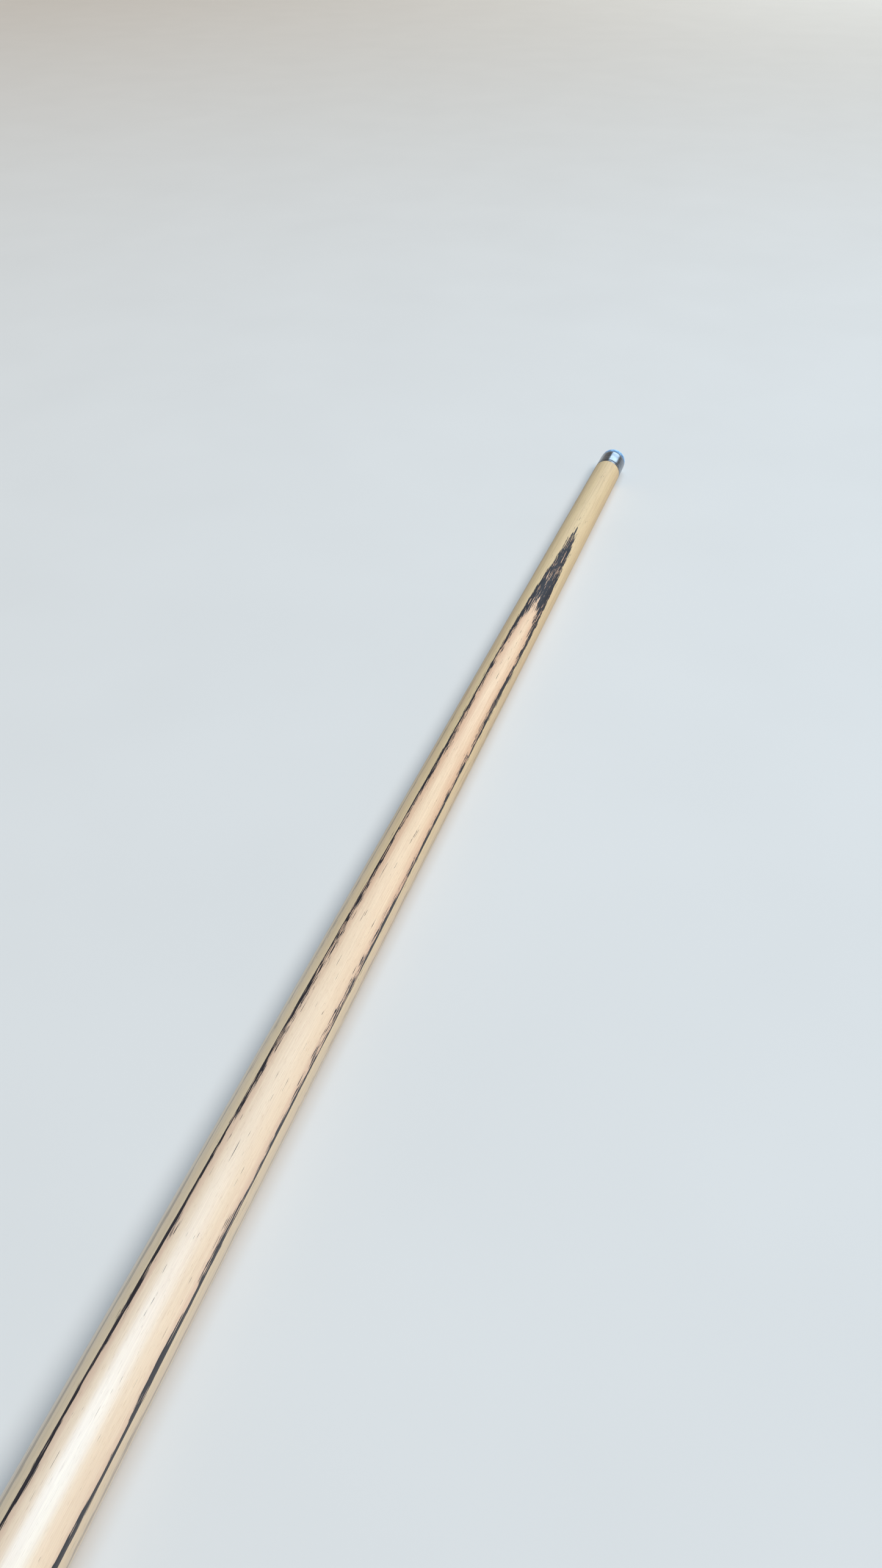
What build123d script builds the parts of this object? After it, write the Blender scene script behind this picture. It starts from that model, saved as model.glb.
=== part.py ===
from build123d import *
import os
from math import atan, cos, degrees, radians, sin

# Snooker and English pool cue in ash with ebony hand splices, made in two sections that screw
# together. The cue lies along X: the butt end is at X = 0 and the tip points to +X. Millimetres.

# Whole cue
cue_length = 1450.0
butt_length = 406.0
# Radius of the turned cue at stations along X, from the butt end to the tip
taper_stations = [(0, 14.5), (450, 11.65), (713, 9.3), (950, 7.4), (1063, 6.7), (cue_length, 4.75)]
butt_end_slope = -0.0060
tip_end_slope = -0.0050

# Tip and ferrule
tip_height = 4.3
tip_radius = 4.68
tip_dome_radius = 7.2
ferrule_length = 9.5
ferrule_bore_radius = 3.9

# The ash is spliced on four sides, at these angles about X from +Y. The splices of the laid-over
# pair cross the whole width of the cue, and the under pair is trimmed beneath them.
side_angles = {"left": 0, "top": 90, "right": 180, "bottom": 270}
under_pair = (0, 180)
laid_over_pair = (90, 270)

# Hand splices: four flats planed on the ash at a shallow slope, with ebony glued on them over
# a coloured veneer. Each flat leaves the surface at the splice point, and the wood glued on it is
# trimmed a little before that, where it would be a feather edge.
splice_point = 760.0
splice_end = 746.0
veneer_end = 803.0
splice_depth_at_point = 8.9
splice_depth_at_butt = 6.4
veneer_thickness = 0.7

# Screwed brass joint
thread_pitch = 2.5
pin_core_radius = 4.1
pin_thread_radius = 5.0
pin_reach = 21.5
pin_neck_length = 2.0
pin_shank_radius = 4.0
pin_shank_length = 38.0
pin_nose_chamfer = 0.8
pin_ridge_root_width = 1.5
pin_ridge_crest_width = 0.7
pin_ridge_sink = 0.1
pin_groove_count = 4
pin_groove_depth = 0.5
pin_groove_width = 2.0
pin_groove_pitch = 7.0
insert_outer_radius = 6.2
insert_bore_radius = 5.15
insert_crest_radius = 4.22
insert_length = 27.8
insert_ridge_root_width = 1.58
insert_ridge_crest_width = 0.55
insert_ridge_sink = 0.2
collar_length = 12.0
tenon_radius = 10.0
waste_radius = 20.0
glue_gap = 0.05
face_gap = 0.02
wood_setback = 0.2

# Butt end
bumper_thickness = 4.0
bumper_edge_radius = 1.5
socket_flange_radius = 8.0
socket_outer_radius = 5.3
socket_bore_radius = 4.1
socket_length = 34.0
socket_bore_depth = 30.0
weight_radius = 4.5
weight_start = 36.0
weight_length = 80.0
weight_chamfer = 0.5

# Name plate on a sloping flat at the butt end, left blank
flat_height_at_end = 12.6
flat_slope = 1.25
badge_length = 26.0
badge_width = 7.6
badge_thickness = 0.8
badge_centre = 22.0

joint_face = butt_length
shaft_wood_start = joint_face + wood_setback
butt_wood_end = joint_face - wood_setback
ferrule_front = cue_length - tip_height
ferrule_back = ferrule_front - ferrule_length
splice_slope = (splice_depth_at_point - splice_depth_at_butt) / splice_point
splice_tilt = atan(splice_slope)

os.makedirs("parts", exist_ok=True)


def finish_piece(piece, name):
    """Label a finished piece and write it to its own file."""
    piece.part.label = name
    export_step(piece.part, f"parts/{name}.step")


def splice_plane(angle, inset=0.0):
    """Plane of one splice flat, facing outwards, moved towards the axis by inset."""
    outward = Vector(0, cos(radians(angle)), sin(radians(angle)))
    normal = outward * cos(splice_tilt) - Vector(1, 0, 0) * sin(splice_tilt)
    return Plane(origin=outward * (splice_depth_at_butt - inset), z_dir=normal)


def station_plane(x):
    """Plane square to the cue's axis, facing the tip."""
    return Plane(origin=(x, 0, 0), x_dir=(0, 1, 0), z_dir=(1, 0, 0))


def keep_between(start, end):
    """Cut the current part off square at two stations."""
    split(bisect_by=station_plane(start), keep=Keep.TOP)
    split(bisect_by=station_plane(end), keep=Keep.BOTTOM)


def bore(radius, start, end):
    """Drill the current part along the axis between two stations."""
    with Locations(station_plane(start)):
        Cylinder(
            radius,
            end - start,
            align=(Align.CENTER, Align.CENTER, Align.MIN),
            mode=Mode.SUBTRACT,
        )


def waste_ring(inner_radius, outer_radius, start, end):
    """Ring of waste that is turned off to leave a tenon or a groove."""
    with BuildPart() as ring:
        with BuildSketch(station_plane(start)):
            Circle(outer_radius)
            Circle(inner_radius, mode=Mode.SUBTRACT)
        extrude(amount=end - start)
    return ring.part


def thread_ridge(start, turns, inner_radius, outer_radius, inner_width, outer_width):
    """Right-hand helical ridge of trapezium section about the cue's axis."""
    half_height = (outer_radius - inner_radius) / 2
    with BuildPart() as ridge:
        with BuildLine() as course:
            Helix(
                pitch=thread_pitch,
                height=turns * thread_pitch,
                radius=(inner_radius + outer_radius) / 2,
                center=(start, 0, 0),
                direction=(1, 0, 0),
            )
        foot = course.line @ 0
        radial = Vector(0, foot.Y, foot.Z).normalized()
        around = Vector(1, 0, 0).cross(radial)
        with BuildSketch(Plane(origin=foot, x_dir=radial, z_dir=around)):
            with BuildLine():
                Polyline(
                    (-half_height, -inner_width / 2),
                    (half_height, -outer_width / 2),
                    (half_height, outer_width / 2),
                    (-half_height, inner_width / 2),
                    close=True,
                )
            make_face()
        sweep(path=course.line, is_frenet=True)
    return ridge.part


# The turned outside of the whole cue, which every wooden piece is cut from
with BuildPart() as blank:
    with BuildSketch(Plane.XZ):
        with BuildLine():
            outline = Spline(
                *taper_stations,
                tangents=[(1, butt_end_slope), (1, tip_end_slope)],
            )
            Line(outline @ 1, (cue_length, 0))
            Line((cue_length, 0), (0, 0))
            Line((0, 0), outline @ 0)
        make_face()
    revolve(axis=Axis.X)

# Waste around the ferrule's tenon and around the tenons that the two collars sit on
ferrule_waste = waste_ring(ferrule_bore_radius, tenon_radius, ferrule_back, ferrule_front)
collar_waste = waste_ring(
    tenon_radius, waste_radius, joint_face - collar_length, joint_face + collar_length
)

# The slope of the flat that carries the name plate
flat_plane = Plane(
    origin=(0, 0, flat_height_at_end),
    x_dir=(cos(radians(flat_slope)), 0, sin(radians(flat_slope))),
    z_dir=(-sin(radians(flat_slope)), 0, cos(radians(flat_slope))),
)

# Leather tip, domed
with BuildPart() as tip:
    with BuildSketch(Plane.XZ):
        with BuildLine():
            dome_rise = tip_dome_radius - (tip_dome_radius**2 - tip_radius**2) ** 0.5
            Line((ferrule_front, 0), (ferrule_front, tip_radius))
            side = Line((ferrule_front, tip_radius), (cue_length - dome_rise, tip_radius))
            RadiusArc(side @ 1, (cue_length, 0), tip_dome_radius)
            Line((cue_length, 0), (ferrule_front, 0))
        make_face()
    revolve(axis=Axis.X)
finish_piece(tip, "tip")

# Metal ferrule, an open sleeve pushed over the end of the ash
with BuildPart() as ferrule:
    add(blank.part)
    keep_between(ferrule_back, ferrule_front)
    bore(ferrule_bore_radius, ferrule_back, ferrule_front)
finish_piece(ferrule, "ferrule")


def splice_block(angle, inset, start, end):
    """Wood outside one splice flat between two stations, up to the turned surface."""
    with BuildPart() as block:
        add(blank.part)
        keep_between(start, end)
        split(bisect_by=splice_plane(angle, inset), keep=Keep.TOP)
    return block.part


# Ash shaft, with the ferrule's tenon at the front and the planed splice core at the back
with BuildPart() as shaft:
    add(blank.part)
    keep_between(shaft_wood_start, ferrule_front)
    for angle in side_angles.values():
        planed_off = splice_block(angle, veneer_thickness, joint_face, veneer_end)
        add(planed_off, mode=Mode.SUBTRACT)
    add(ferrule_waste, mode=Mode.SUBTRACT)
    add(collar_waste, mode=Mode.SUBTRACT)
    bore(pin_shank_radius, joint_face, joint_face + pin_shank_length)
finish_piece(shaft, "shaft")

# Ash core of the butt, drilled for the joint insert, the weight and the extension socket
with BuildPart() as butt_core:
    add(blank.part)
    keep_between(bumper_thickness, butt_wood_end)
    for angle in side_angles.values():
        split(bisect_by=splice_plane(angle, veneer_thickness), keep=Keep.BOTTOM)
    add(collar_waste, mode=Mode.SUBTRACT)
    bore(insert_outer_radius, butt_wood_end - insert_length, joint_face)
    bore(weight_radius + glue_gap, 0, weight_start + weight_length)
    bore(socket_outer_radius, 0, socket_length)
finish_piece(butt_core, "butt_core")


def finish_splice(block, angle):
    """Trim the under pair beneath the pair laid over it, and turn the collar seat."""
    with BuildPart() as piece:
        add(block)
        if angle in under_pair:
            for other in laid_over_pair:
                split(bisect_by=splice_plane(other, veneer_thickness), keep=Keep.BOTTOM)
        add(collar_waste, mode=Mode.SUBTRACT)
    return piece


def splice_and_veneer(angle, start, splice_stop, veneer_stop):
    """One splice and the veneer under it, each trimmed to its own end."""
    splice = splice_block(angle, 0, start, splice_stop)
    with BuildPart() as veneer:
        add(splice_block(angle, veneer_thickness, start, veneer_stop))
        add(splice, mode=Mode.SUBTRACT)
    return finish_splice(splice, angle), finish_splice(veneer.part, angle)


# Four splices and four veneers on each section, named by the side that they are on
for side_name, angle in side_angles.items():
    shaft_splice, shaft_veneer = splice_and_veneer(angle, shaft_wood_start, splice_end, veneer_end)
    finish_piece(shaft_splice, f"shaft_splice_{side_name}")
    finish_piece(shaft_veneer, f"shaft_veneer_{side_name}")
    butt_blank, butt_veneer = splice_and_veneer(
        angle, bumper_thickness, butt_wood_end, butt_wood_end
    )
    finish_piece(butt_veneer, f"butt_veneer_{side_name}")
    with BuildPart() as butt_splice:
        add(butt_blank.part)
        if side_name == "top":
            split(bisect_by=flat_plane, keep=Keep.BOTTOM)
            with BuildSketch(flat_plane):
                with Locations((badge_centre, 0)):
                    SlotOverall(badge_length, badge_width)
            extrude(amount=-badge_thickness, mode=Mode.SUBTRACT)
    finish_piece(butt_splice, f"butt_splice_{side_name}")

# Blank name plate let into the flat
with BuildPart() as badge:
    with BuildSketch(flat_plane):
        with Locations((badge_centre, 0)):
            SlotOverall(badge_length, badge_width)
    extrude(amount=-badge_thickness)
finish_piece(badge, "badge")


def collar(start, end):
    """Brass collar, flush with the wood and glued over the tenon."""
    with BuildPart() as piece:
        add(blank.part)
        keep_between(start, end)
        bore(tenon_radius + glue_gap, start, end)
    return piece


finish_piece(collar(joint_face + face_gap, joint_face + collar_length), "shaft_collar")
finish_piece(collar(joint_face - collar_length, joint_face), "butt_collar")

# Brass pin: a grooved shank glued into the shaft and a threaded nose that reaches into the butt
thread_turns = (pin_reach - pin_neck_length - thread_pitch) / thread_pitch
thread_start = joint_face - pin_reach + thread_pitch / 2
with BuildPart() as joint_pin:
    with BuildSketch(station_plane(joint_face - pin_reach)):
        Circle(pin_core_radius)
    extrude(amount=pin_reach)
    chamfer(joint_pin.edges().group_by(Axis.X)[0], pin_nose_chamfer)
    add(
        thread_ridge(
            thread_start,
            thread_turns,
            pin_core_radius - pin_ridge_sink,
            pin_thread_radius,
            pin_ridge_root_width,
            pin_ridge_crest_width,
        )
    )
    with BuildSketch(station_plane(joint_face)):
        Circle(pin_shank_radius)
    extrude(amount=pin_shank_length)
    for groove in range(pin_groove_count):
        groove_start = joint_face + pin_groove_pitch * (groove + 1)
        groove_floor = pin_shank_radius - pin_groove_depth
        groove_ring = waste_ring(
            groove_floor, pin_thread_radius, groove_start, groove_start + pin_groove_width
        )
        add(groove_ring, mode=Mode.SUBTRACT)
finish_piece(joint_pin, "joint_pin")

# Brass insert in the butt, whose thread ridge runs in the pin's thread groove
insert_start = butt_wood_end - insert_length
with BuildPart() as joint_insert:
    with BuildSketch(station_plane(insert_start)):
        Circle(insert_outer_radius)
        Circle(insert_bore_radius, mode=Mode.SUBTRACT)
    extrude(amount=insert_length)
    add(
        thread_ridge(
            thread_start - thread_pitch / 2,
            thread_turns + 0.5,
            insert_crest_radius,
            insert_bore_radius + insert_ridge_sink,
            insert_ridge_crest_width,
            insert_ridge_root_width,
        )
    )
finish_piece(joint_insert, "joint_insert")

# Brass socket for an extension, with its flange let into the bumper
with BuildPart() as extension_socket:
    with BuildSketch(station_plane(0)):
        Circle(socket_flange_radius)
    extrude(amount=bumper_thickness)
    with BuildSketch(station_plane(0)):
        Circle(socket_outer_radius)
    extrude(amount=socket_length)
    bore(socket_bore_radius, 0, socket_bore_depth)
finish_piece(extension_socket, "extension_socket")

# Steel rod that sets the cue's weight and balance
with BuildPart() as weight:
    with BuildSketch(station_plane(weight_start)):
        Circle(weight_radius)
    extrude(amount=weight_length)
    chamfer(weight.edges().filter_by(GeomType.CIRCLE), weight_chamfer)
finish_piece(weight, "weight")

# Rubber ring on the butt end, rounded outside and cut by the name plate's flat
with BuildPart() as bumper:
    add(blank.part)
    keep_between(0, bumper_thickness)
    fillet(bumper.edges().filter_by(GeomType.CIRCLE).sort_by(Axis.X)[0], bumper_edge_radius)
    split(bisect_by=flat_plane, keep=Keep.BOTTOM)
    bore(socket_flange_radius, 0, bumper_thickness)
finish_piece(bumper, "bumper")
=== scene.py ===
import math

import bmesh
import bpy
from mathutils import Matrix, Vector, noise


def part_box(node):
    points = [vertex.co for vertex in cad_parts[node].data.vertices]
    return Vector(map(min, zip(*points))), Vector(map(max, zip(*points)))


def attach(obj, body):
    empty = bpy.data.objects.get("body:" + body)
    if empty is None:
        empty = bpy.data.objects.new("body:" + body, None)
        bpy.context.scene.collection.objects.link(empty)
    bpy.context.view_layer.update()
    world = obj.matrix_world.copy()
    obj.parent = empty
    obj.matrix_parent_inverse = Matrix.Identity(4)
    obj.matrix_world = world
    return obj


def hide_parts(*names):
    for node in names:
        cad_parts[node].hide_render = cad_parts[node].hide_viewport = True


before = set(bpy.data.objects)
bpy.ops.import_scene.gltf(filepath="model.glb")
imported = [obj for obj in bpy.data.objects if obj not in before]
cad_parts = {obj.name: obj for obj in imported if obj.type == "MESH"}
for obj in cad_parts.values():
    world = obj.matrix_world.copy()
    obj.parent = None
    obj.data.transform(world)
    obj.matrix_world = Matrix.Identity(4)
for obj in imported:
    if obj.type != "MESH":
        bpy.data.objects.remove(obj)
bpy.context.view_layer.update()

MM = 0.001

# ---- places read from the frame -------------------------------------------------------------

TIP_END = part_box("tip")[1].x
FERRULE_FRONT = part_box("ferrule")[1].x
FERRULE_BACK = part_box("ferrule")[0].x
TIP_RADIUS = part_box("tip")[1].y
JOINT_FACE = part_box("butt_collar")[1].x
COLLAR_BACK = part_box("butt_collar")[0].x
COLLAR_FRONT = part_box("shaft_collar")[1].x
COLLAR_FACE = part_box("shaft_collar")[0].x
SHAFT_WOOD_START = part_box("shaft")[0].x
BUTT_WOOD_START, BUTT_WOOD_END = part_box("butt_core")[0].x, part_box("butt_core")[1].x
BUMPER_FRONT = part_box("bumper")[1].x
SOCKET_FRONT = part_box("extension_socket")[1].x
FLANGE_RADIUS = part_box("extension_socket")[1].y

# ---- the turned outline and the splice flats, as the CAD model has them ----------------------

STATIONS = [(0.0, 14.5), (450.0, 11.65), (713.0, 9.3), (950.0, 7.4), (1063.0, 6.7), (1450.0, 4.75)]
BUTT_SLOPE = -0.0060
TIP_SLOPE = -0.0050
SPLICE_POINT = 760 * MM
FLAT_DEPTH_AT_POINT = 8.9 * MM
FLAT_DEPTH_AT_BUTT = 6.4 * MM
VENEER = 0.7 * MM
TENON_RADIUS = 10 * MM
BADGE_FLAT_HEIGHT = 12.6 * MM
BADGE_FLAT_SLOPE = math.tan(math.radians(1.25))

# Wider than the whole cue: for a section that nothing limits
NO_LIMIT = 1.0


def clamped_spline(points, first_slope, last_slope):
    """Slopes of the smooth curve through the points, for piecewise cubic evaluation."""
    count = len(points)
    below, middle, above, right = [0.0] * count, [1.0] * count, [0.0] * count, [0.0] * count
    right[0], right[-1] = first_slope, last_slope
    for i in range(1, count - 1):
        left_step = points[i][0] - points[i - 1][0]
        right_step = points[i + 1][0] - points[i][0]
        below[i], above[i] = right_step, left_step
        middle[i] = 2 * (left_step + right_step)
        rise_left = (points[i][1] - points[i - 1][1]) / left_step
        rise_right = (points[i + 1][1] - points[i][1]) / right_step
        right[i] = 3 * (right_step * rise_left + left_step * rise_right)
    for i in range(1, count):
        share = below[i] / middle[i - 1]
        middle[i] -= share * above[i - 1]
        right[i] -= share * right[i - 1]
    slopes = [0.0] * count
    slopes[-1] = right[-1] / middle[-1]
    for i in range(count - 2, -1, -1):
        slopes[i] = (right[i] - above[i] * slopes[i + 1]) / middle[i]
    return slopes


SLOPES = clamped_spline(STATIONS, BUTT_SLOPE, TIP_SLOPE)


def turned(x):
    """Radius of the turned outside at x, in metres."""
    place = min(max(x / MM, STATIONS[0][0]), STATIONS[-1][0])
    i = 0
    while i < len(STATIONS) - 2 and place > STATIONS[i + 1][0]:
        i += 1
    (x0, r0), (x1, r1) = STATIONS[i], STATIONS[i + 1]
    step = x1 - x0
    t = (place - x0) / step
    radius = (
        (1 + 2 * t) * (1 - t) ** 2 * r0
        + t * (1 - t) ** 2 * step * SLOPES[i]
        + t * t * (3 - 2 * t) * r1
        + t * t * (t - 1) * step * SLOPES[i + 1]
    )
    return radius * MM


def flat_depth(x):
    """Distance from the axis to a splice's planed flat."""
    return FLAT_DEPTH_AT_BUTT + (FLAT_DEPTH_AT_POINT - FLAT_DEPTH_AT_BUTT) * x / SPLICE_POINT


def badge_flat(x):
    """Height of the sloping flat that carries the name plate."""
    return BADGE_FLAT_HEIGHT + BADGE_FLAT_SLOPE * x


def spread(first, last, step):
    """Evenly spaced places from first to last, no further apart than step."""
    count = max(1, math.ceil(abs(last - first) / step - 1e-9))
    return [first + (last - first) * i / count for i in range(count + 1)]


# ---- mesh helpers ----------------------------------------------------------------------------


def new_piece(name, body, material, node_names):
    """An empty mesh object that rides on a body and stands for some CAD nodes."""
    piece = bpy.data.objects.new(name, bpy.data.meshes.new(name))
    bpy.context.scene.collection.objects.link(piece)
    piece.data.materials.append(material)
    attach(piece, body)
    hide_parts(*node_names)
    return piece


def finish_mesh(piece, mesh, sharp_degrees):
    """Weld, orient and shade a mesh, and give it to the piece."""
    bmesh.ops.remove_doubles(mesh, verts=mesh.verts, dist=2e-7)
    bmesh.ops.dissolve_degenerate(mesh, edges=mesh.edges, dist=1e-7)
    bmesh.ops.recalc_face_normals(mesh, faces=mesh.faces)
    for face in mesh.faces:
        face.smooth = True
    for edge in mesh.edges:
        if len(edge.link_faces) == 2 and edge.calc_face_angle(0.0) > math.radians(sharp_degrees):
            edge.smooth = False
    mesh.to_mesh(piece.data)
    mesh.free()
    piece.data.update()
    return piece


def skin(mesh, rings, close_ends=True):
    """Join rings of equal length into a closed skin."""
    rows = [[mesh.verts.new(point) for point in ring] for ring in rings]
    for first, second in zip(rows, rows[1:]):
        count = len(first)
        for i in range(count):
            j = (i + 1) % count
            mesh.faces.new((first[i], first[j], second[j], second[i]))
    if close_ends:
        mesh.faces.new(list(reversed(rows[0])))
        mesh.faces.new(rows[-1])


def circle(x, radius, segments):
    return [
        (x, radius * math.cos(2 * math.pi * i / segments), radius * math.sin(2 * math.pi * i / segments))
        for i in range(segments)
    ]


def lathe(outline, segments, closed_loop=False):
    """Mesh of an outline of (x, radius) points turned about the axis."""
    mesh = bmesh.new()
    rings = [circle(x, max(radius, 1e-6), segments) for x, radius in outline]
    if closed_loop:
        rings.append(rings[0])
    skin(mesh, rings, close_ends=not closed_loop)
    return mesh


# ---- material helpers ------------------------------------------------------------------------


def srgb(red, green, blue):
    """Linear colour from 0-255 display values."""
    values = []
    for value in (red, green, blue):
        share = value / 255
        values.append(share / 12.92 if share <= 0.04045 else ((share + 0.055) / 1.055) ** 2.4)
    return (*values, 1.0)


class Paint:
    """A material's node tree with short calls for the nodes it needs."""

    def __init__(self, name):
        self.material = bpy.data.materials.new(name)
        self.material.use_nodes = True
        self.tree = self.material.node_tree
        self.shader = self.tree.nodes["Principled BSDF"]
        coords = self.tree.nodes.new("ShaderNodeTexCoord")
        scale = self.tree.nodes.new("ShaderNodeVectorMath")
        scale.operation = "SCALE"
        scale.inputs["Scale"].default_value = 1 / MM
        self.tree.links.new(coords.outputs["Object"], scale.inputs[0])
        self.place = scale.outputs[0]
        split = self.tree.nodes.new("ShaderNodeSeparateXYZ")
        self.tree.links.new(self.place, split.inputs[0])
        self.x, self.y, self.z = split.outputs

    def feed(self, socket, value):
        if isinstance(value, bpy.types.NodeSocket):
            self.tree.links.new(value, socket)
        else:
            socket.default_value = value

    def math(self, operation, first, second=0.0, clamp=False):
        node = self.tree.nodes.new("ShaderNodeMath")
        node.operation = operation
        node.use_clamp = clamp
        for socket, value in zip(node.inputs, (first, second)):
            self.feed(socket, value)
        return node.outputs[0]

    def add(self, first, second):
        return self.math("ADD", first, second)

    def times(self, first, second):
        return self.math("MULTIPLY", first, second)

    def less(self, first, second):
        return self.math("SUBTRACT", first, second)

    def stretch(self, along, around):
        """Coordinates in cells that are along mm long and around mm wide."""
        node = self.tree.nodes.new("ShaderNodeVectorMath")
        node.operation = "MULTIPLY"
        self.feed(node.inputs[0], self.place)
        node.inputs[1].default_value = (1 / along, 1 / around, 1 / around)
        return node.outputs[0]

    def noise(self, vector, detail=2.0, roughness=0.5):
        node = self.tree.nodes.new("ShaderNodeTexNoise")
        self.feed(node.inputs["Vector"], vector)
        node.inputs["Scale"].default_value = 1.0
        node.inputs["Detail"].default_value = detail
        node.inputs["Roughness"].default_value = roughness
        return node.outputs["Fac"]

    def cells(self, vector):
        """Distance to the nearest of the points that are scattered one to a cell."""
        node = self.tree.nodes.new("ShaderNodeTexVoronoi")
        self.feed(node.inputs["Vector"], vector)
        node.inputs["Scale"].default_value = 1.0
        return node.outputs["Distance"]

    def remap(self, value, low, high, new_low=0.0, new_high=1.0, smooth=False):
        node = self.tree.nodes.new("ShaderNodeMapRange")
        node.interpolation_type = "SMOOTHSTEP" if smooth else "LINEAR"
        node.clamp = True
        for key, item in (
            ("Value", value),
            ("From Min", low),
            ("From Max", high),
            ("To Min", new_low),
            ("To Max", new_high),
        ):
            self.feed(node.inputs[key], item)
        return node.outputs["Result"]

    def curve(self, value, span, points, height):
        """A smooth curve through (place, level) points, place from 0 to span, level to height."""
        node = self.tree.nodes.new("ShaderNodeFloatCurve")
        line = node.mapping.curves[0]
        for i, (place, level) in enumerate(points):
            if i < 2:
                line.points[i].location = (place / span, level / height)
            else:
                line.points.new(place / span, level / height)
        node.mapping.update()
        self.feed(node.inputs["Value"], self.math("DIVIDE", value, span, clamp=True))
        return self.times(node.outputs[0], height)

    def ramp(self, value, stops):
        node = self.tree.nodes.new("ShaderNodeValToRGB")
        ramp = node.color_ramp
        while len(ramp.elements) < len(stops):
            ramp.elements.new(0.5)
        for element, (place, colour) in zip(ramp.elements, stops):
            element.position = place
            element.color = colour
        self.feed(node.inputs["Fac"], value)
        return node.outputs["Color"]

    def mix(self, share, first, second):
        node = self.tree.nodes.new("ShaderNodeMix")
        node.data_type = "RGBA"
        self.feed(node.inputs["Factor"], share)
        self.feed(node.inputs[6], first)
        self.feed(node.inputs[7], second)
        return node.outputs[2]

    def bump(self, height, distance_mm, strength):
        node = self.tree.nodes.new("ShaderNodeBump")
        node.inputs["Strength"].default_value = strength
        node.inputs["Distance"].default_value = distance_mm * MM
        self.feed(node.inputs["Height"], height)
        self.feed(self.shader.inputs["Normal"], node.outputs[0])

    def set(self, **values):
        """Constant or linked inputs of the shader, by name with spaces as underscores."""
        for key, value in values.items():
            self.feed(self.shader.inputs[key.replace("_", " ")], value)


# ---- materials -------------------------------------------------------------------------------

# The growth rings of the ash are nearly flat sheets. Seen from the tip their normal leans to
# the right of straight up, and the sheet nearest the surface is the one whose dark open pores
# run out as an arrowhead on the top of the shaft. Each list is (mm from the tip, level): heights
# and thicknesses in mm, and raggedness as the mm by which the fingers move the sheet's edge.
RING_LEAN = math.radians(-25.0)
RING_SPACING = 2.4
SHAFT_SHOWN = 400
SHEET_HEIGHT = [
    (0, 5.32), (71, 5.15), (84, 5.05), (98, 4.96), (114, 4.74), (130, 4.57), (150, 4.44),
    (168, 4.52), (190, 4.62), (240, 4.67), (290, 4.62), (330, 4.66), (400, 4.72),
]
SHEET_THICKNESS = [
    (0, 1.30), (120, 1.30), (128, 1.02), (134, 0.74), (145, 0.56), (160, 0.46), (190, 0.38),
    (225, 0.36), (262, 0.42), (285, 0.44), (310, 0.38), (335, 0.42), (352, 0.80), (400, 0.76),
]
LOOSE_PORES = [
    (0, 0.05), (110, 0.10), (128, 1.00), (145, 0.80), (170, 0.72), (205, 0.74), (230, 0.60),
    (258, 0.72), (280, 1.05), (305, 1.05), (325, 0.72), (345, 0.50), (400, 0.55),
]
RAGGEDNESS = [
    (0, 0.62), (66, 0.62), (84, 0.80), (118, 0.72), (134, 0.44), (152, 0.28), (190, 0.16),
    (235, 0.15), (285, 0.22), (330, 0.14), (400, 0.12),
]


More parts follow.
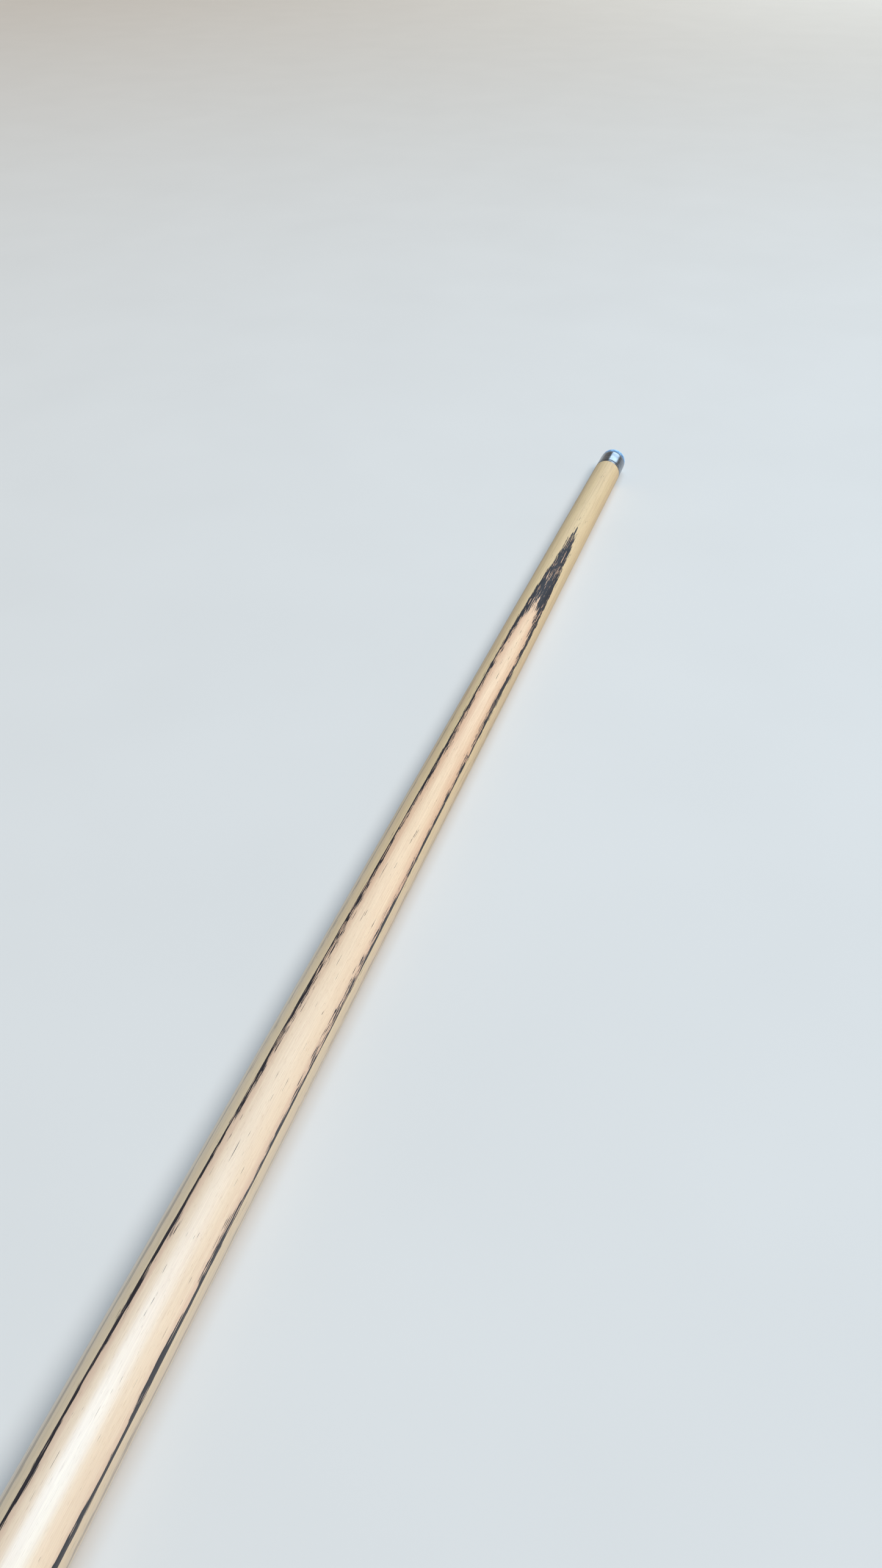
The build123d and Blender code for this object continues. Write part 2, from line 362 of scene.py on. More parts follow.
def ash_colour(paint):
    """Colour, pore depth and fibre relief of clear-finished ash."""
    lean_y, lean_z = math.sin(RING_LEAN), math.cos(RING_LEAN)
    height = paint.add(paint.times(paint.y, lean_y), paint.times(paint.z, lean_z))
    across = paint.less(paint.times(paint.y, lean_z), paint.times(paint.z, lean_y))
    from_tip = paint.less(TIP_END / MM, paint.x)
    sheet = paint.curve(from_tip, SHAFT_SHOWN, SHEET_HEIGHT, height=6.0)
    thickness = paint.curve(from_tip, SHAFT_SHOWN, SHEET_THICKNESS, height=1.5)
    loose = paint.curve(from_tip, SHAFT_SHOWN, LOOSE_PORES, height=1.5)
    ragged = paint.curve(from_tip, SHAFT_SHOWN, RAGGEDNESS, height=1.0)

    wander = paint.noise(paint.stretch(34, 3.0), detail=3, roughness=0.6)
    fingers = paint.noise(paint.stretch(8.5, 0.32), detail=3, roughness=0.6)
    arch = paint.times(paint.times(across, across), 0.004)
    above = paint.less(paint.add(height, arch), sheet)
    above = paint.add(above, paint.times(paint.less(wander, 0.5), 0.30))
    above = paint.add(above, paint.times(paint.less(fingers, 0.5), ragged))
    share = paint.math("FRACT", paint.math("DIVIDE", above, RING_SPACING))
    in_ring = paint.times(share, RING_SPACING)
    # The lower sheets show little near the tip
    lower = paint.remap(above, -0.9, -0.5, 1.0, 0.0)
    quiet = paint.times(lower, paint.remap(from_tip, 130, 220, 1.0, 0.55, smooth=True))

    # Open pores: long dark dashes packed against the ring's boundary, and looser ones above it
    long_dash = paint.noise(paint.stretch(15, 0.24), detail=2, roughness=0.6)
    short_dash = paint.noise(paint.stretch(4.2, 0.15), detail=2, roughness=0.5)
    dash = paint.add(paint.times(long_dash, 0.55), paint.times(short_dash, 0.45))
    swell = paint.remap(paint.noise(paint.stretch(22, 2.5), detail=3), 0.34, 0.66, -0.5, 0.5)
    swell = paint.times(swell, paint.remap(from_tip, 120, 160, 0.2, 1.0))
    swell = paint.add(swell, 1.0)
    depth = paint.math("DIVIDE", in_ring, paint.times(thickness, swell))
    solid = paint.add(0.392, paint.times(ragged, 0.02))
    packed = paint.remap(depth, 0.55, 1.10, solid, 0.66)
    packed = paint.remap(paint.less(dash, packed), -0.010, 0.012, smooth=True)
    scattered = paint.remap(paint.math("DIVIDE", in_ring, loose), 0.60, 1.10, 0.515, 0.80)
    scattered = paint.remap(paint.less(short_dash, scattered), -0.006, 0.010, smooth=True)
    outside = paint.remap(in_ring, RING_SPACING - 0.40, RING_SPACING - 0.08, 0.80, 0.53)
    stray = paint.math("ABSOLUTE", paint.less(from_tip, 160))
    outside = paint.add(outside, paint.remap(stray, 25, 60, 0.0, 0.12))
    outside = paint.remap(paint.less(short_dash, outside), -0.006, 0.010, smooth=True)
    pores = paint.math("MAXIMUM", paint.math("MAXIMUM", packed, scattered), outside)
    pores = paint.times(pores, paint.less(1.0, quiet))

    # Wood between the pores: pink beside them, cream in the middle, straw before the next ring
    wood = paint.ramp(
        share,
        [
            (0.00, srgb(198, 148, 114)),
            (0.09, srgb(216, 170, 136)),
            (0.32, srgb(227, 186, 152)),
            (0.46, srgb(241, 208, 172)),
            (0.78, srgb(242, 211, 176)),
            (0.92, srgb(227, 198, 154)),
            (0.99, srgb(213, 186, 140)),
        ],
    )
    # Outside the topmost sheet of the shaft the wood is straw coloured
    straw = paint.remap(above, -0.30, 0.0, 0.85, 0.0)
    wood = paint.mix(straw, wood, srgb(213, 186, 141))
    wood = paint.mix(quiet, wood, srgb(214, 187, 142))
    fibre = paint.noise(paint.stretch(14, 0.10), detail=4, roughness=0.7)
    wood = paint.mix(paint.remap(fibre, 0.34, 0.64, 0.30, 0.0), wood, srgb(160, 118, 80))
    streak = paint.noise(paint.stretch(30, 0.45), detail=3, roughness=0.6)
    dirty = paint.times(paint.remap(streak, 0.30, 0.52, 0.45, 0.0), straw)
    wood = paint.mix(dirty, wood, srgb(158, 128, 94))
    beside = paint.remap(in_ring, 0.2, 1.3, 1.0, 0.25)
    beside = paint.times(beside, paint.remap(from_tip, 110, 135, 0.35, 1.0))
    pink = paint.times(paint.remap(streak, 0.46, 0.66, 0.0, 0.55), beside)
    wood = paint.mix(pink, wood, srgb(205, 150, 118))
    cloud = paint.noise(paint.stretch(46, 7.0), detail=2)
    wood = paint.mix(paint.remap(cloud, 0.34, 0.68, 0.0, 0.20), wood, srgb(206, 168, 128))
    # Painted sheen: from 190 mm to 380 mm from the tip the wood is mixed towards a pale milky colour
    # that stands in for the broad whitish sheen on the shaft there
    painted_sheen = paint.remap(from_tip, 190, 380, 0.0, 0.30, smooth=True)
    wood = paint.mix(painted_sheen, wood, srgb(222, 206, 188))
    fleck = paint.noise(paint.stretch(1.6, 0.09), detail=1)
    wood = paint.mix(paint.remap(fleck, 0.62, 0.72, 0.0, 0.30), wood, srgb(172, 132, 94))
    ink = paint.ramp(
        paint.noise(paint.stretch(9, 0.3), detail=2),
        [(0.35, srgb(14, 12, 20)), (0.55, srgb(26, 22, 31)), (0.72, srgb(58, 46, 46))],
    )
    colour = paint.mix(pores, wood, ink)
    # Dirt in the joint between the ferrule and the wood
    gap = paint.less(from_tip, (TIP_END - FERRULE_BACK) / MM)
    grime = paint.remap(gap, 0.05, 0.55, 0.85, 0.0, smooth=True)
    colour = paint.mix(grime, colour, srgb(58, 50, 46))
    return colour, pores, fibre


def ash_material():
    paint = Paint("ash_clear_lacquer")
    colour, pores, fibre = ash_colour(paint)
    # The finish is dull from wiping and chalk near the tip, and glossy further back
    smear = paint.noise(paint.stretch(22, 5), detail=3)
    from_tip = paint.less(TIP_END / MM, paint.x)
    wear = paint.remap(from_tip, 60, 300, 0.66, 0.30, smooth=True)
    rough = paint.add(wear, paint.remap(smear, 0.3, 0.7, -0.03, 0.05))
    coat = paint.remap(from_tip, 190, 350, 0.0, 0.7, smooth=True)
    paint.set(Base_Color=colour, Roughness=rough, IOR=1.55, Coat_Weight=coat, Coat_Roughness=0.36)
    hollow = paint.less(paint.times(fibre, 0.12), pores)
    paint.bump(hollow, 0.05, 0.5)
    return paint.material


def ebony_material():
    paint = Paint("ebony_polished")
    streak = paint.noise(paint.stretch(38, 0.7), detail=4, roughness=0.6)
    pore = paint.noise(paint.stretch(2.6, 0.13), detail=2)
    pores = paint.remap(pore, 0.60, 0.66, smooth=True)
    wood = paint.ramp(
        streak,
        [
            (0.30, srgb(20, 16, 16)),
            (0.52, srgb(32, 25, 23)),
            (0.64, srgb(58, 42, 34)),
            (0.74, srgb(36, 28, 25)),
        ],
    )
    colour = paint.mix(paint.times(pores, 0.8), wood, srgb(10, 8, 8))
    rough = paint.remap(paint.noise(paint.stretch(30, 6), detail=3), 0.3, 0.7, 0.24, 0.36)
    paint.set(Base_Color=colour, Roughness=rough, IOR=1.5, Coat_Weight=0.45, Coat_Roughness=0.12)
    paint.bump(paint.times(pores, -1.0), 0.03, 0.4)
    return paint.material


def veneer_material():
    paint = Paint("dyed_veneer")
    streak = paint.noise(paint.stretch(24, 0.25), detail=4, roughness=0.65)
    colour = paint.ramp(
        streak,
        [(0.32, srgb(112, 34, 24)), (0.52, srgb(146, 52, 34)), (0.70, srgb(168, 76, 50))],
    )
    rough = paint.remap(paint.noise(paint.stretch(20, 4), detail=2), 0.3, 0.7, 0.28, 0.40)
    paint.set(Base_Color=colour, Roughness=rough, IOR=1.5, Coat_Weight=0.45, Coat_Roughness=0.14)
    paint.bump(streak, 0.02, 0.3)
    return paint.material


def metal_material(name, light, dark, rough_low, rough_high, tarnish_share=1.0):
    """Turned metal: fine rings about the axis, faint tarnish and handling marks."""
    paint = Paint(name)
    rings = paint.noise(paint.stretch(0.045, 60), detail=3, roughness=0.7)
    tarnish = paint.noise(paint.stretch(3.2, 3.2), detail=4, roughness=0.6)
    marks = paint.noise(paint.stretch(0.5, 2.4), detail=3, roughness=0.7)
    colour = paint.mix(paint.remap(tarnish, 0.35, 0.72, 0.0, tarnish_share), light, dark)
    shade = paint.remap(marks, 0.35, 0.75, rough_low, rough_high)
    rough = paint.add(shade, paint.remap(rings, 0.3, 0.7, -0.02, 0.04))
    paint.set(Base_Color=colour, Metallic=1.0, Roughness=rough)
    paint.bump(rings, 0.006, 0.35)
    return paint.material


def leather_material():
    """Compressed leather, rubbed all over with blue chalk."""
    paint = Paint("chalked_leather")
    powder = paint.noise(paint.stretch(0.55, 0.55), detail=6, roughness=0.7)
    patch = paint.noise(paint.stretch(2.2, 2.2), detail=3, roughness=0.6)
    pits = paint.cells(paint.stretch(0.42, 0.42))
    back = paint.less(paint.x, FERRULE_FRONT / MM)
    chalk = paint.ramp(
        powder,
        [
            (0.26, srgb(104, 156, 204)),
            (0.46, srgb(142, 196, 238)),
            (0.66, srgb(176, 220, 250)),
        ],
    )
    side = paint.mix(
        paint.remap(powder, 0.35, 0.62), srgb(46, 62, 88), srgb(96, 140, 184)
    )
    worn = paint.add(back, paint.remap(patch, 0.3, 0.7, -0.8, 0.8))
    colour = paint.mix(paint.remap(worn, 0.6, 2.6, smooth=True), side, chalk)
    colour = paint.mix(
        paint.remap(pits, 0.06, 0.22, 0.30, 0.0), colour, srgb(52, 78, 112)
    )
    paint.set(Base_Color=colour, Roughness=0.92, Sheen_Weight=0.25, Sheen_Roughness=0.5)
    height = paint.add(paint.times(powder, 0.8), paint.times(pits, 0.2))
    paint.bump(height, 0.10, 0.7)
    return paint.material


def rubber_material():
    paint = Paint("bumper_rubber")
    grain = paint.noise(paint.stretch(0.25, 0.25), detail=4, roughness=0.7)
    scuff = paint.noise(paint.stretch(0.9, 0.9), detail=5, roughness=0.7)
    colour = paint.mix(paint.remap(scuff, 0.50, 0.78, 0.0, 0.5), srgb(29, 29, 30), srgb(62, 61, 60))
    rough = paint.remap(grain, 0.3, 0.7, 0.62, 0.82)
    paint.set(Base_Color=colour, Roughness=rough)
    paint.bump(grain, 0.03, 0.5)
    return paint.material


def plate_material():
    """Brushed blank plate, brushed along the cue."""
    paint = Paint("badge_brushed")
    brushed = paint.noise(paint.stretch(9, 0.03), detail=4, roughness=0.75)
    tarnish = paint.noise(paint.stretch(2.4, 2.4), detail=3)
    colour = paint.mix(
        paint.remap(tarnish, 0.40, 0.8, 0.0, 0.45), srgb(222, 190, 124), srgb(182, 146, 90)
    )
    rough = paint.remap(brushed, 0.3, 0.7, 0.24, 0.40)
    paint.set(Base_Color=colour, Metallic=1.0, Roughness=rough)
    paint.bump(brushed, 0.008, 0.5)
    return paint.material


ASH = ash_material()
EBONY = ebony_material()
RED_VENEER = veneer_material()
BRASS = metal_material("brass_turned", srgb(232, 196, 122), srgb(190, 146, 82), 0.20, 0.27, 0.4)
NICKEL = metal_material("ferrule_polished", srgb(134, 142, 152), srgb(94, 102, 114), 0.18, 0.28)
STEEL = metal_material("weight_steel", srgb(150, 150, 154), srgb(96, 94, 94), 0.30, 0.48)
LEATHER = leather_material()
RUBBER = rubber_material()
PLATE = plate_material()

# ---- shaft section ---------------------------------------------------------------------------

RING_STEP = 5 * MM
SEGMENTS = 160
# Close to the wall of CAD's ferrule, which has a straight bore under the tapering outside
FERRULE_WALL = 0.9 * MM


def make_tip():
    """Domed leather tip, slightly mushroomed and uneven, with a rubbed edge."""
    length = TIP_END - FERRULE_FRONT
    dome_start = 0.52 * length
    outline = []
    for share in (0.0, 0.06, 0.15, 0.3, 0.5, 0.7, 0.85, 1.0):
        bulge = 0.985 + 0.015 * math.sin(math.pi * share)
        outline.append((FERRULE_FRONT + dome_start * share, TIP_RADIUS * bulge))
    dome_steps = 22
    for i in range(1, dome_steps):
        angle = 0.5 * math.pi * i / dome_steps
        outline.append(
            (
                FERRULE_FRONT + dome_start + (length - dome_start) * math.sin(angle) ** 1.15,
                TIP_RADIUS * 0.985 * math.cos(angle) ** 0.92,
            )
        )
    outline.append((TIP_END, 0.02 * MM))
    mesh = lathe(outline, 96)
    for vert in mesh.verts:
        along = (vert.co.x - FERRULE_FRONT) / length
        grain = noise.fractal(vert.co * 900, 0.8, 2.2, 4) * 0.035 * MM
        lump = noise.noise(vert.co * 350) * 0.05 * MM
        radial = Vector((0, vert.co.y, vert.co.z))
        if radial.length > 0.1 * MM:
            radial.normalize()
        push = -abs(grain + lump) * min(1.0, 4 * along)
        vert.co += (radial * (1 - along) + Vector((1, 0, 0)) * along) * push
    piece = new_piece("leather_tip", "shaft_section", LEATHER, ["tip"])
    return finish_mesh(piece, mesh, 60)


def make_ferrule():
    """Polished sleeve with eased edges and a fine turned line near its back."""
    ease = 0.18 * MM
    front, back = turned(FERRULE_FRONT), turned(FERRULE_BACK)
    line, line_half_width, line_depth = FERRULE_BACK + 1.1 * MM, 0.12 * MM, 0.06 * MM
    outline = [(FERRULE_BACK, back - FERRULE_WALL), (FERRULE_BACK, back - ease)]
    outline += [(FERRULE_BACK + 0.3 * ease, back - 0.25 * ease), (FERRULE_BACK + ease, back)]
    outline += [
        (line - line_half_width, turned(line)),
        (line, turned(line) - line_depth),
        (line + line_half_width, turned(line)),
    ]
    outline += [(x, turned(x)) for x in spread(line + 0.5 * MM, FERRULE_FRONT - ease, MM)]
    outline += [(FERRULE_FRONT - 0.3 * ease, front - 0.25 * ease), (FERRULE_FRONT, front - ease)]
    outline += [(FERRULE_FRONT, front - FERRULE_WALL)]
    mesh = lathe(outline, SEGMENTS, closed_loop=True)
    piece = new_piece("ferrule_sleeve", "shaft_section", NICKEL, ["ferrule"])
    return finish_mesh(piece, mesh, 50)


def core_ring(x, limit, inset):
    """Section of the ash: the turned circle cut by the four planed flats."""
    radius = min(turned(x), limit)
    depth = flat_depth(x) - inset
    eighth, narrowest = math.pi / 4, math.radians(1.5)
    if depth < radius:
        corner = min(max(math.acos(depth / radius), narrowest), eighth)
    else:
        # There is no flat here, and the points open out over half a millimetre of depth
        corner = narrowest + min(1.0, (depth - radius) / (0.5 * MM)) * math.radians(21)
    flats, rounds = 5, 15
    half = [corner * i / flats for i in range(flats)]
    half += [corner + (eighth - corner) * i / rounds for i in range(rounds)]
    quarter = half + [eighth] + [math.pi / 2 - angle for angle in reversed(half[1:])]
    ring = []
    for turn in range(4):
        for angle in quarter:
            theta = angle + turn * math.pi / 2
            nearest = max(abs(math.cos(theta)), abs(math.sin(theta)))
            reach = min(radius, depth / nearest)
            ring.append((x, reach * math.cos(theta), reach * math.sin(theta)))
    return ring


def make_shaft_wood():
    """Ash shaft, from the tenon in the collar to the tenon in the ferrule."""
    ferrule_tenon = turned(FERRULE_BACK) - FERRULE_WALL
    rings = [core_ring(x, TENON_RADIUS, VENEER) for x in (SHAFT_WOOD_START, COLLAR_FRONT)]
    stations = spread(COLLAR_FRONT, FERRULE_BACK - 0.15 * MM, RING_STEP)
    rings += [core_ring(x, NO_LIMIT, VENEER) for x in stations]
    rings.append(core_ring(FERRULE_BACK, turned(FERRULE_BACK) - 0.1 * MM, VENEER))
    rings += [core_ring(x, ferrule_tenon, VENEER) for x in (FERRULE_BACK, FERRULE_FRONT)]
    mesh = bmesh.new()
    skin(mesh, rings)
    piece = new_piece("shaft_ash", "shaft_section", ASH, ["shaft"])
    return finish_mesh(piece, mesh, 30)


# ---- splices and veneers ---------------------------------------------------------------------

ARC_STEPS = 24
SIDES = {"left": 0.0, "top": 90.0, "right": 180.0, "bottom": 270.0}


def face_out(points, x, degrees):
    """Turn (outward, sideways) section points to the side that they are on."""
    c, s = math.cos(math.radians(degrees)), math.sin(math.radians(degrees))
    return [(x, out * c - side * s, out * s + side * c) for out, side in points]


def section(x, limit, depth, ceiling, side_limit, flat_height):
    """Section of a splice or veneer: from a planed flat out to the turned surface or a ceiling."""
    radius = min(turned(x), limit)
    depth = min(depth, radius)
    widest = math.acos(depth / radius)
    reach = min(widest, math.asin(min(1.0, side_limit / radius)))
    inner = math.acos(min(1.0, ceiling / radius)) if ceiling < radius else 0.0
    inner = min(inner, reach)
    points = []
    for i in range(ARC_STEPS + 1):
        angle = -reach + (reach - inner) * i / ARC_STEPS
        points.append((radius * math.cos(angle), radius * math.sin(angle)))
    for i in range(ARC_STEPS + 1):
        angle = inner + (reach - inner) * i / ARC_STEPS
        points.append((radius * math.cos(angle), radius * math.sin(angle)))
    half_width = radius * math.sin(reach)
    points.append((depth, half_width))
    points.append((depth, -half_width))
    return [(min(out, ceiling, flat_height), side) for out, side in points]


def loft_side(name, body, material, node, stations, depth_of, ceiling_of, degrees):
    """Skin one splice or veneer through its sections."""
    rings = []
    for x, limit in stations:
        inner_flat = flat_depth(x) - VENEER
        side_limit = inner_flat if degrees in (SIDES["left"], SIDES["right"]) else NO_LIMIT
        flat_height = badge_flat(x) if degrees == SIDES["top"] else NO_LIMIT
        points = section(x, limit, depth_of(x), ceiling_of(x), side_limit, flat_height)
        rings.append(face_out(points, x, degrees))
    mesh = bmesh.new()
    skin(mesh, rings)
    piece = new_piece(name, body, material, [node])
    return finish_mesh(piece, mesh, 25)


def point_end(inset):
    """Where a flat moved inwards by inset runs out of the turned surface."""
    low, high = SPLICE_POINT - 100 * MM, SPLICE_POINT + 120 * MM
    for _ in range(40):
        middle = (low + high) / 2
        if turned(middle) > flat_depth(middle) - inset:
            low = middle
        else:
            high = middle
    return low


def shaft_stations(end):
    tail = [end - (end - COLLAR_FRONT) * share for share in (0.02, 0.01, 0.004, 0.001, 0.0)]
    body = spread(COLLAR_FRONT, tail[0], RING_STEP)
    stations = [(SHAFT_WOOD_START, TENON_RADIUS), (COLLAR_FRONT, TENON_RADIUS)]
    return stations + [(x, NO_LIMIT) for x in body + tail[1:]]


def butt_stations():
    stations = [(x, NO_LIMIT) for x in spread(BUTT_WOOD_START, COLLAR_BACK, RING_STEP)]
    return stations + [(COLLAR_BACK, TENON_RADIUS), (BUTT_WOOD_END, TENON_RADIUS)]


def make_splices():
    splice_end, veneer_end = point_end(0.0), point_end(VENEER)
    for side, degrees in SIDES.items():
        for section_name, body, splice_run, veneer_run in (
            ("shaft", "shaft_section", shaft_stations(splice_end), shaft_stations(veneer_end)),
            ("butt", "butt", butt_stations(), butt_stations()),
        ):
            loft_side(
                f"{section_name}_ebony_{side}", body, EBONY,
                f"{section_name}_splice_{side}", splice_run, flat_depth, lambda x: NO_LIMIT, degrees,
            )
            loft_side(
                f"{section_name}_red_line_{side}", body, RED_VENEER,
                f"{section_name}_veneer_{side}", veneer_run,
                lambda x: flat_depth(x) - VENEER, flat_depth, degrees,
            )


# ---- joint and butt end ----------------------------------------------------------------------


def make_collar(name, body, node, start, end):
    """Brass collar with eased edges."""
    ease = 0.25 * MM
    bore = TENON_RADIUS + 0.05 * MM
    outline = [(start, bore), (start, turned(start) - ease)]
    outline += [(start + 0.3 * ease, turned(start) - 0.3 * ease), (start + ease, turned(start))]
    outline += [(x, turned(x)) for x in spread(start + 2 * ease, end - ease, 1.5 * MM)]
    outline += [(end - 0.3 * ease, turned(end) - 0.3 * ease), (end, turned(end) - ease)]
    outline += [(end, bore)]
    mesh = lathe(outline, SEGMENTS, closed_loop=True)
    return finish_mesh(new_piece(name, body, BRASS, [node]), mesh, 50)


def make_bumper():
    """Rubber ring with a rounded outer edge, cut by the name plate's flat."""
    edge = 1.6 * MM
    outer = turned(0)
    outline = [(BUMPER_FRONT, FLANGE_RADIUS), (BUMPER_FRONT, turned(BUMPER_FRONT))]
    outline += [(x, turned(x)) for x in (0.8 * BUMPER_FRONT, 0.6 * BUMPER_FRONT)]
    for i in range(9):
        angle = math.radians(90 * i / 8)
        outline.append((edge - edge * math.sin(angle), outer - edge + edge * math.cos(angle)))
    # Narrow bands keep the end face flat in shading beside its two rounded edges
    outline += [(0.0, outer - edge - 0.15 * MM), (0.0, outer - edge - 0.8 * MM)]
    outline += [(0.0, FLANGE_RADIUS + 0.75 * MM), (0.0, FLANGE_RADIUS + 0.6 * MM)]
    outline += [(0.25 * MM, FLANGE_RADIUS)]
    mesh = lathe(outline, SEGMENTS, closed_loop=True)
    for vert in mesh.verts:
        vert.co.z = min(vert.co.z, badge_flat(vert.co.x))
    piece = new_piece("bumper_ring", "butt", RUBBER, ["bumper"])
    return finish_mesh(piece, mesh, 50)


def make_socket():
    """Brass extension socket with a flange and a cut internal thread."""
    pitch = 1.25 * MM
    bore, root = 4.1 * MM, 4.75 * MM
    depth, outer = 30 * MM, 5.3 * MM
    edge_break, mouth, run_length = 0.3 * MM, 0.9 * MM, 1.5 * MM
    segments, steps = 64, 10
    mesh = bmesh.new()
    rings = [circle(SOCKET_FRONT, outer, segments), circle(BUMPER_FRONT, outer, segments)]
    rings += [circle(BUMPER_FRONT, FLANGE_RADIUS, segments)]
    rings += [circle(edge_break, FLANGE_RADIUS, segments)]
    rings += [circle(0.0, FLANGE_RADIUS - edge_break, segments), circle(0.0, bore + mouth, segments)]
    for x in spread(0.5 * MM, depth, pitch / steps):
        ring = []
        for i in range(segments):
            angle = 2 * math.pi * i / segments
            phase = (x / pitch - i / segments) % 1.0
            cut = min(max((0.40 - abs(phase - 0.5)) / 0.26, 0.0), 1.0)
            run_in = min(1.0, x / run_length) * min(1.0, (depth - x) / run_length)
            radius = bore + (root - bore) * cut * max(run_in, 0.0)
            radius += max(0.0, mouth - x)
            ring.append((x, radius * math.cos(angle), radius * math.sin(angle)))
        rings.append(ring)
    skin(mesh, rings)
    piece = new_piece("socket_threaded", "butt", BRASS, ["extension_socket"])
    return finish_mesh(piece, mesh, 40)


def make_badge():
    """Blank plate with a bevelled rim and a fine border line, set in the sloping flat."""
    low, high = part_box("badge")
    length, width = high.x - low.x, high.y - low.y
    centre = (low.x + high.x) / 2
    half, radius = length / 2 - width / 2, width / 2
    steps = 20

    def rim(inset, lift):
        ring = []
        for sign in (1, -1):
            for i in range(steps + 1):
                angle = math.radians(-90 + 180 * i / steps) + (0 if sign == 1 else math.pi)
                along = sign * half + (radius - inset) * math.cos(angle)
                side = (radius - inset) * math.sin(angle)
                x = centre + along
                ring.append((x, side, badge_flat(x) + lift))
        return ring

    # Inset from the rim and height over the flat, in mm, from the foot in to the middle
    levels = [
        (0.05, -0.7), (0.05, 0.02), (0.22, 0.12), (0.75, 0.12), (0.82, 0.06), (0.98, 0.06),
        (1.05, 0.12), (1.9, 0.12), (3.0, 0.12),
    ]
    mesh = bmesh.new()
    skin(mesh, [rim(inset * MM, lift * MM) for inset, lift in levels])
    piece = new_piece("badge_plate", "butt", PLATE, ["badge"])
    return finish_mesh(piece, mesh, 20)


make_tip()
make_ferrule()
make_shaft_wood()
make_splices()
make_collar("collar_front_ring", "collar", "shaft_collar", COLLAR_FACE, COLLAR_FRONT)
make_collar("collar_back_ring", "butt", "butt_collar", COLLAR_BACK, JOINT_FACE)
make_bumper()
make_socket()
make_badge()

# CAD nodes whose shape is kept, with their finishes
KEPT_NODES = {"butt_core": ASH, "joint_pin": BRASS, "joint_insert": BRASS, "weight": STEEL}
for node_name, material in KEPT_NODES.items():
    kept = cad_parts[node_name].data
    kept.materials.clear()
    kept.materials.append(material)

# ---- studio ----------------------------------------------------------------------------------

# The underside's places, as (x, height), with the tip's end last
FLOOR_TOUCH = [(x, -turned(x)) for x in spread(0, TIP_END, 10 * MM)]


def floor_line():
    """The straight line that the underside rests on, as its height at X = 0 and its slope."""
    lines = []
    for x0, z0 in FLOOR_TOUCH[:-1]:
        slope = (-TIP_RADIUS - z0) / (TIP_END - x0)
        start = z0 - slope * x0
        gap = min(z - (start + slope * x) for x, z in FLOOR_TOUCH)
        lines.append((gap, start, slope))
    _, start, slope = max(lines, key=lambda line: line[0])
    return start, slope


def make_floor():
    start, slope = floor_line()
    half_side = 12.0
    mesh = bpy.data.meshes.new("floor")
    corners = [
        (-half_side, -half_side), (half_side, -half_side),
        (half_side, half_side), (-half_side, half_side),
    ]
    mesh.from_pydata([(x, y, start + slope * x) for x, y in corners], [], [(0, 1, 2, 3)])
    floor = bpy.data.objects.new("floor", mesh)
    bpy.context.scene.collection.objects.link(floor)
    paint = Paint("floor_pale")
    speck = paint.noise(paint.stretch(60, 60), detail=2)
    paint.set(Base_Color=paint.ramp(speck, [(0.3, srgb(209, 202, 195)), (0.7, srgb(211, 204, 197))]))
    paint.set(Roughness=0.8)
    mesh.materials.append(paint.material)


def area_light(name, target, direction, distance, across, along, power, colour):
    """Soft box that looks at the target from a direction; its first side lies across the cue."""
    lamp = bpy.data.lights.new(name, "AREA")
    lamp.shape = "RECTANGLE"
    lamp.size, lamp.size_y = across, along
    lamp.energy = power
    lamp.color = colour
    away = Vector(direction).normalized()
    side = Vector((0, 1, 0)).cross(away).cross(away).normalized()
    turn = Matrix((side, away.cross(side), away)).transposed()
    holder = bpy.data.objects.new(name, lamp)
    place = Vector(target) + away * distance
    holder.matrix_world = Matrix.Translation(place) @ turn.to_4x4()
    bpy.context.scene.collection.objects.link(holder)


HORIZON = (0.42, 0.39, 0.36, 1.0)
CEILING = (0.12, 0.12, 0.12, 1.0)


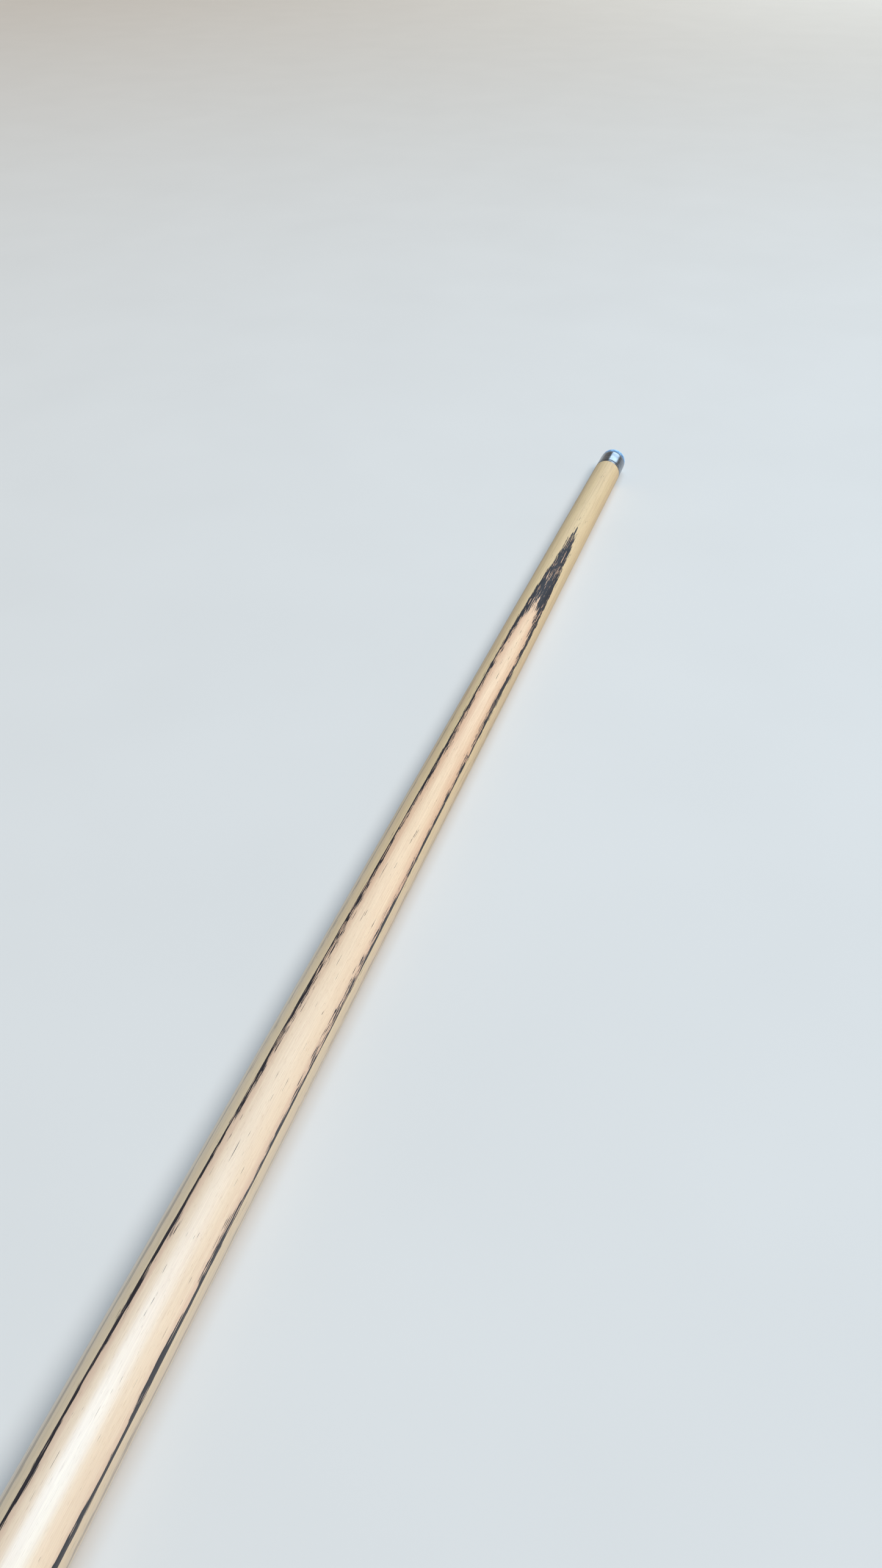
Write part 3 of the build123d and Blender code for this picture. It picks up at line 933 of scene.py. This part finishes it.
def make_lights():
    area_light(
        "sheen", target=(TIP_END - 0.38, 0, 0), direction=(0.20, -0.27, 0.94), distance=1.5,
        across=1.5, along=0.5, power=19.0, colour=(0.42, 0.70, 1.0),
    )
    area_light(
        "window", target=(TIP_END, 0, 0), direction=(0.92, -0.13, 0.38), distance=2.5,
        across=1.30, along=0.85, power=13.5, colour=(0.68, 0.87, 1.0),
    )
    lamp = bpy.data.lights.new("key", "SUN")
    lamp.energy = 2.15
    lamp.angle = math.radians(28)
    lamp.color = (1.0, 0.94, 0.84)
    key = bpy.data.objects.new("key", lamp)
    key.rotation_euler = Vector((-0.38, -0.44, 0.81)).to_track_quat("Z", "Y").to_euler()
    bpy.context.scene.collection.objects.link(key)
    make_backdrop()


def make_backdrop():
    """Plain backdrop: grey at the horizon, and fading to a darker ceiling."""
    world = bpy.data.worlds.new("studio")
    world.use_nodes = True
    tree = world.node_tree
    coords = tree.nodes.new("ShaderNodeTexCoord")
    split = tree.nodes.new("ShaderNodeSeparateXYZ")
    fade = tree.nodes.new("ShaderNodeValToRGB")
    fade.color_ramp.interpolation = "EASE"
    fade.color_ramp.elements[0].position = 0.0
    fade.color_ramp.elements[0].color = HORIZON
    fade.color_ramp.elements[1].position = 0.75
    fade.color_ramp.elements[1].color = CEILING
    tree.links.new(coords.outputs["Generated"], split.inputs[0])
    tree.links.new(split.outputs["Z"], fade.inputs["Fac"])
    tree.links.new(fade.outputs["Color"], tree.nodes["Background"].inputs["Color"])
    bpy.context.scene.world = world


# The camera stands behind the shaft and looks forwards and down along it
CAMERA_FROM_TIP = Vector((-442.2, -75.9, 188.5)) * MM
CAMERA_TURN = math.radians(18.49)
CAMERA_PITCH = math.radians(38.46)
LENS_MM = 27.05


def make_camera():
    forward = Vector(
        (
            math.cos(CAMERA_PITCH) * math.cos(CAMERA_TURN),
            math.cos(CAMERA_PITCH) * math.sin(CAMERA_TURN),
            -math.sin(CAMERA_PITCH),
        )
    )
    right = Vector((math.sin(CAMERA_TURN), -math.cos(CAMERA_TURN), 0))
    up = right.cross(forward)
    lens = bpy.data.cameras.new("camera")
    lens.sensor_width = 36
    lens.sensor_fit = "AUTO"
    lens.lens = LENS_MM
    lens.clip_start = 0.01
    camera = bpy.data.objects.new("camera", lens)
    turn = Matrix((right, up, -forward)).transposed()
    camera.matrix_world = Matrix.Translation(Vector((TIP_END, 0, 0)) + CAMERA_FROM_TIP) @ turn.to_4x4()
    bpy.context.scene.collection.objects.link(camera)
    bpy.context.scene.camera = camera


make_floor()
make_lights()
make_camera()
bpy.context.scene.view_settings.view_transform = "Standard"
